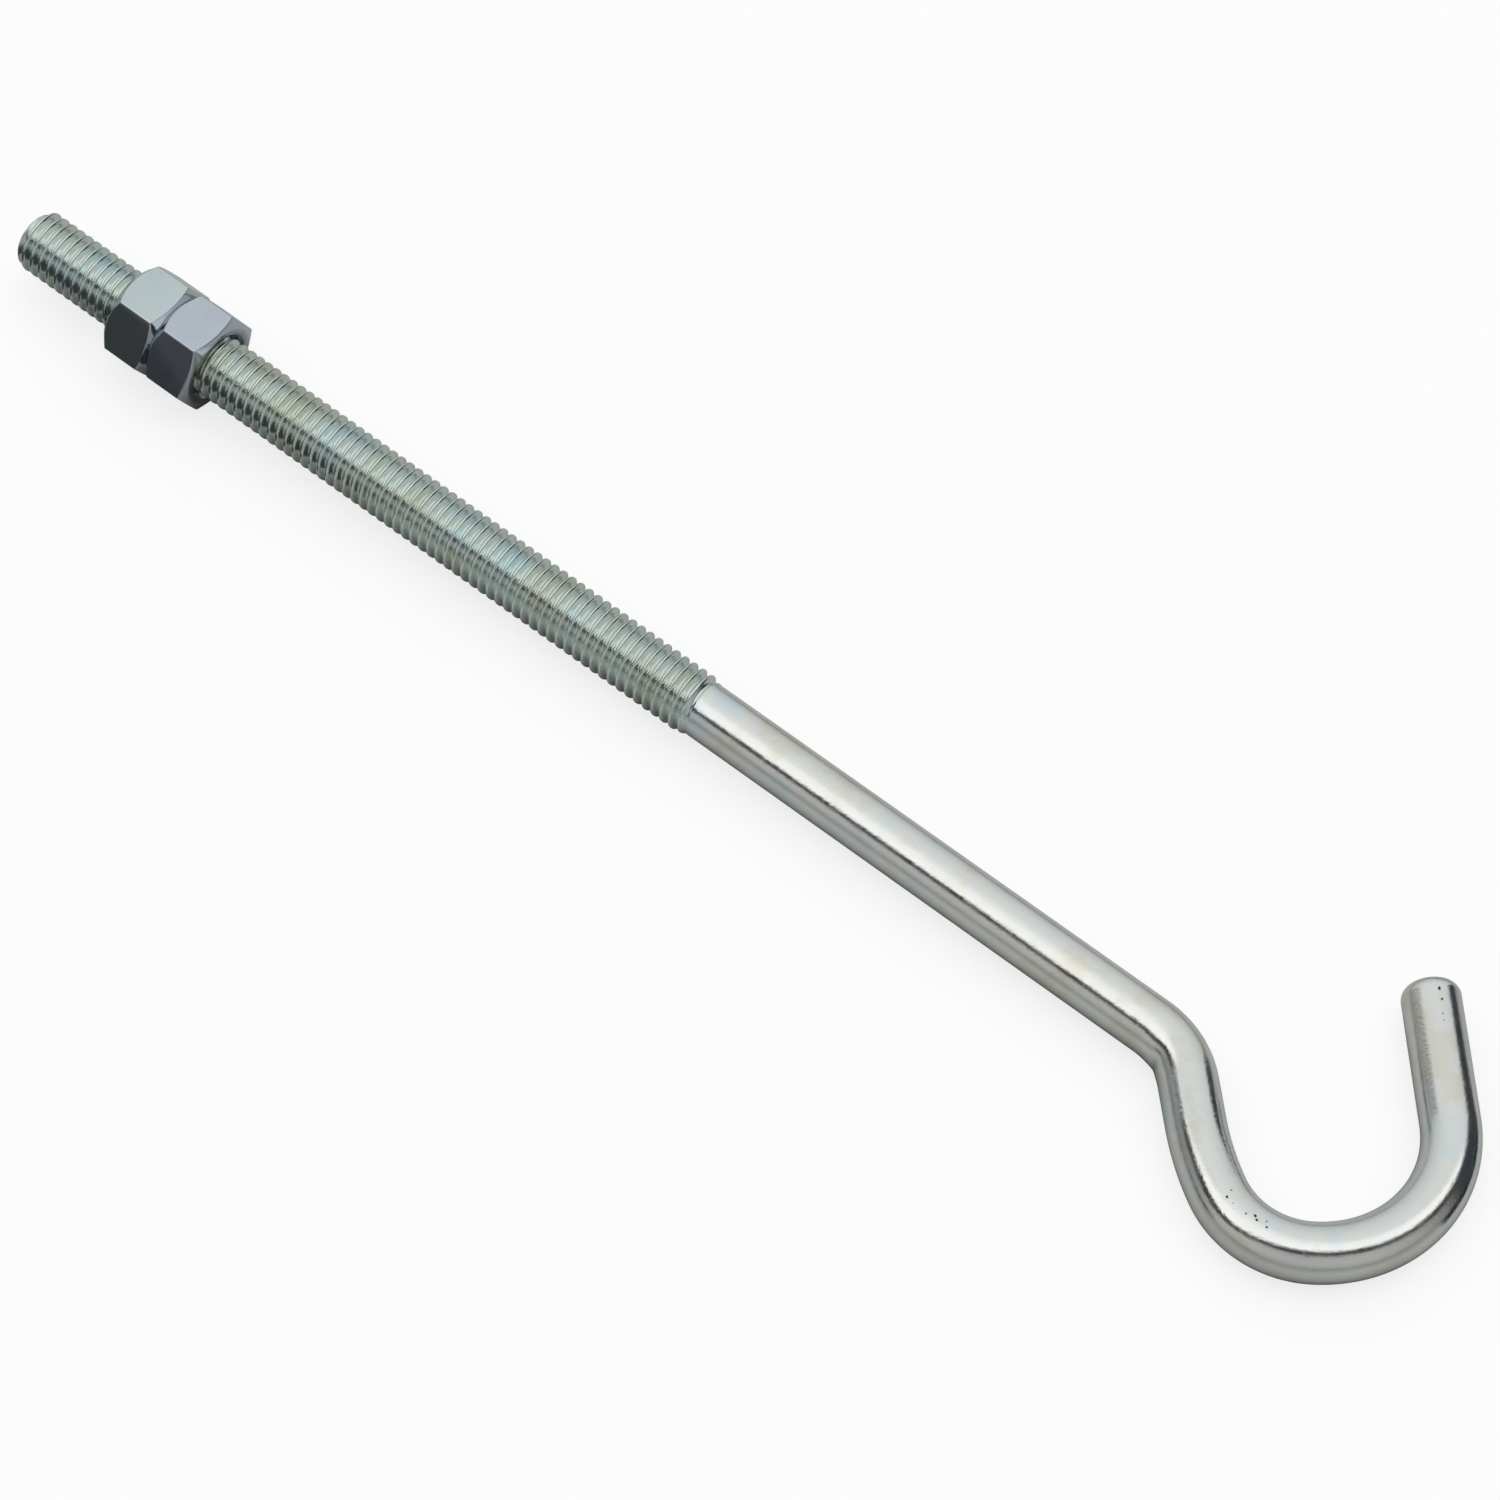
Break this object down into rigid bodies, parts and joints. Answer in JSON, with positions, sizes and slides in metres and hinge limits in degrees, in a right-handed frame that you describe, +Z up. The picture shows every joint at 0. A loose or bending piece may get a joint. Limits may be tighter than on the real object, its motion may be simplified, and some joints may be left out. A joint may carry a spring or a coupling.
{
  "type": "j bolt",
  "caption": "Gooseneck hook bolt: a straight threaded shank, cranked at its end into an open round hook, with hex nuts run onto the thread.",
  "frame": {"origin": "under the middle of the whole part's box, on the surface that it lies on", "axes": "+X along the shank towards the hook, +Y to the side of the hook's free end, +Z up, square to the flat that the hook lies in"},
  "size_m": [0.254, 0.0529, 0.0147],
  "materials": {
    "rod_zinc": "bright zinc plate on rolled and bent rod",
    "outer_nut_zinc": "bright zinc plate, smooth",
    "inner_nut_zinc": "bright zinc plate, smooth"
  },
  "bodies": {
    "bolt": {"hook_bolt": "rod_zinc"},
    "outer_nut": {"outer_nut": "outer_nut_zinc"},
    "inner_nut": {"inner_nut": "inner_nut_zinc"}
  },
  "joints": [
    {"name": "outer_nut_travel", "type": "slide", "parent": "bolt", "child": "outer_nut", "axis": [-0.9999, 0, 0.0138], "range_m": [0, 0.01905]},
    {"name": "inner_nut_travel", "type": "slide", "parent": "bolt", "child": "inner_nut", "axis": [0.9999, 0, -0.0138], "range_m": [0, 0.0889]}
  ]
}
